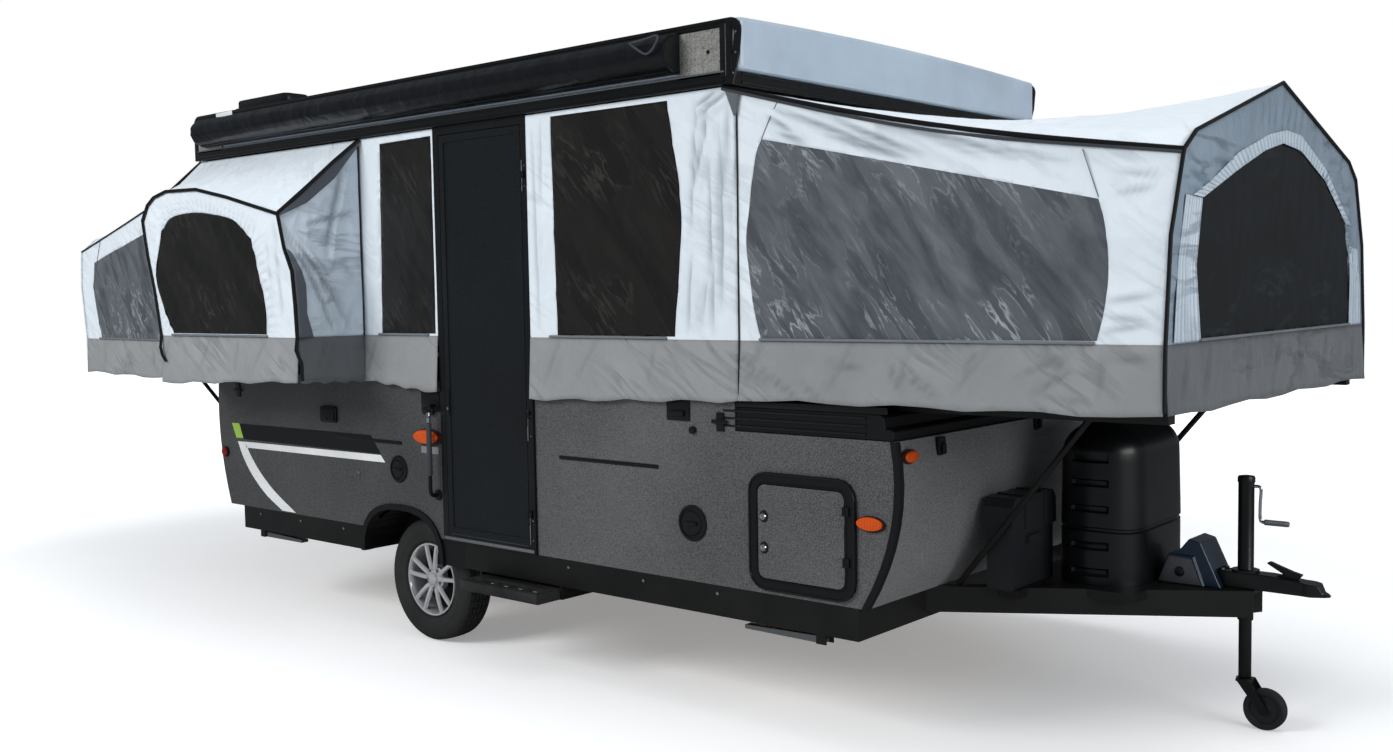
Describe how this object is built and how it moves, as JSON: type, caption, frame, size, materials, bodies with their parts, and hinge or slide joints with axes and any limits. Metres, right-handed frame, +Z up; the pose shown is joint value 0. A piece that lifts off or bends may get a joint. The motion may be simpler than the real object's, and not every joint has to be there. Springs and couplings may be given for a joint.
{
  "type": "folding camper trailer",
  "caption": "Folding camper trailer standing open on its wheels and tongue jack, with bunk tents, entry door, trunk hatch, step and corner steadies.",
  "frame": {"origin": "on the ground under the middle of the open trailer's box", "axes": "+X towards the hitch, +Y towards the street side, +Z up"},
  "size_m": [6.6122, 2.49, 2.5203],
  "materials": {
    "black_frame": "satin powder coat",
    "black_plastic": "fine grained moulded plastic",
    "black_door": "pebbled sheet",
    "panel_grey": "pebbled sheet",
    "roof_white": "semi gloss",
    "tyre_rubber": "moulded rubber",
    "alloy": "bright machined face",
    "zinc_steel": "zinc plated",
    "tent_cloth": "coated woven cloth",
    "awning_cloth": "coated vinyl cloth",
    "plywood": "sanded plywood"
  },
  "bodies": {
    "trailer": {"awning_bag": "awning_cloth", "axle": "black_frame", "battery_box": "black_plastic", "box_floor": "plywood", "box_front": "panel_grey", "box_rear": "panel_grey", "box_side_curb_front": "panel_grey", "box_side_curb_rear": "panel_grey", "box_side_street": "panel_grey", "bulkhead": "plywood", "chassis_frame": "black_frame", "corner_trim_curb": "black_plastic", "corner_trim_street": "black_plastic", "coupler": "black_frame", "curb_wall_tent_front": "tent_cloth", "curb_wall_tent_rear": "tent_cloth", "door_frame": "black_frame", "front_bunk_deck": "plywood", "front_bunk_tent": "tent_cloth", "gas_bottle_cover": "black_plastic", "grab_handle": "black_plastic", "hatch_frame": "black_plastic", "jack_tube": "black_frame", "lift_post_front_curb": "zinc_steel", "lift_post_front_street": "zinc_steel", "lift_post_rear_curb": "zinc_steel", "lift_post_rear_street": "zinc_steel", "rear_bunk_deck": "plywood", "rear_bunk_tent": "tent_cloth", "roof_rail": "black_frame", "roof_shell": "roof_white", "roof_vent": "black_plastic", "side_bunk_deck": "plywood", "side_bunk_tent": "tent_cloth", "street_wall_tent": "tent_cloth", "strut_front_curb": "black_frame", "strut_front_street": "black_frame", "strut_rear_curb": "black_frame", "strut_rear_street": "black_frame", "tongue_cover": "black_plastic", "tongue_frame": "black_frame", "trunk_lid": "black_plastic", "wheel_well_curb": "black_plastic", "wheel_well_street": "black_plastic"},
    "wheel_curb": {"tyre_curb": "tyre_rubber", "rim_curb": "alloy"},
    "wheel_street": {"tyre_street": "tyre_rubber", "rim_street": "alloy"},
    "caster_swivel": {"caster_fork": "zinc_steel"},
    "caster_wheel": {"caster_wheel": "tyre_rubber"},
    "jack_crank": {"jack_crank": "zinc_steel"},
    "entry_door": {"entry_door": "black_door"},
    "hatch_door": {"hatch_door": "panel_grey"},
    "entry_step": {"entry_step": "black_frame"},
    "steady_front_curb": {"steady_front_curb": "zinc_steel"},
    "steady_front_street": {"steady_front_street": "zinc_steel"},
    "steady_rear_curb": {"steady_rear_curb": "zinc_steel"},
    "steady_rear_street": {"steady_rear_street": "zinc_steel"}
  },
  "joints": [
    {"name": "wheel_curb_spin", "type": "hinge", "parent": "trailer", "child": "wheel_curb", "pos_m": [-0.1561, -0.76, 0.272], "axis": [0, 1, 0], "continuous": true},
    {"name": "wheel_street_spin", "type": "hinge", "parent": "trailer", "child": "wheel_street", "pos_m": [-0.1561, 1.09, 0.272], "axis": [0, 1, 0], "continuous": true},
    {"name": "caster_turn", "type": "hinge", "parent": "trailer", "child": "caster_swivel", "pos_m": [3.0319, 0.165, 0.16], "axis": [0, 0, 1], "continuous": true},
    {"name": "caster_roll", "type": "hinge", "parent": "caster_swivel", "child": "caster_wheel", "pos_m": [3.1009, 0.165, 0.07], "axis": [0, 1, 0], "continuous": true},
    {"name": "crank_turn", "type": "hinge", "parent": "trailer", "child": "jack_crank", "pos_m": [3.0702, 0.165, 0.832], "axis": [1, 0, 0], "continuous": true},
    {"name": "door_hinge", "type": "hinge", "parent": "trailer", "child": "entry_door", "pos_m": [0.5834, -0.9025, 1.3], "axis": [0, 0, 1], "range_deg": [0, 110]},
    {"name": "hatch_hinge", "type": "hinge", "parent": "trailer", "child": "hatch_door", "pos_m": [2.1054, -0.9025, 0.7], "axis": [0, 0, 1], "range_deg": [0, 120]},
    {"name": "step_slide", "type": "slide", "parent": "trailer", "child": "entry_step", "axis": [0, -1, 0], "range_m": [0, 0.18]},
    {"name": "steady_front_curb_fold", "type": "hinge", "parent": "trailer", "child": "steady_front_curb", "pos_m": [1.9939, -0.855, 0.352], "axis": [0, -1, 0], "range_deg": [0, 85]},
    {"name": "steady_front_street_fold", "type": "hinge", "parent": "trailer", "child": "steady_front_street", "pos_m": [1.9939, 1.185, 0.352], "axis": [0, -1, 0], "range_deg": [0, 85]},
    {"name": "steady_rear_curb_fold", "type": "hinge", "parent": "trailer", "child": "steady_rear_curb", "pos_m": [-1.4061, -0.855, 0.352], "axis": [0, 1, 0], "range_deg": [0, 85]},
    {"name": "steady_rear_street_fold", "type": "hinge", "parent": "trailer", "child": "steady_rear_street", "pos_m": [-1.4061, 1.185, 0.352], "axis": [0, 1, 0], "range_deg": [0, 85]}
  ]
}
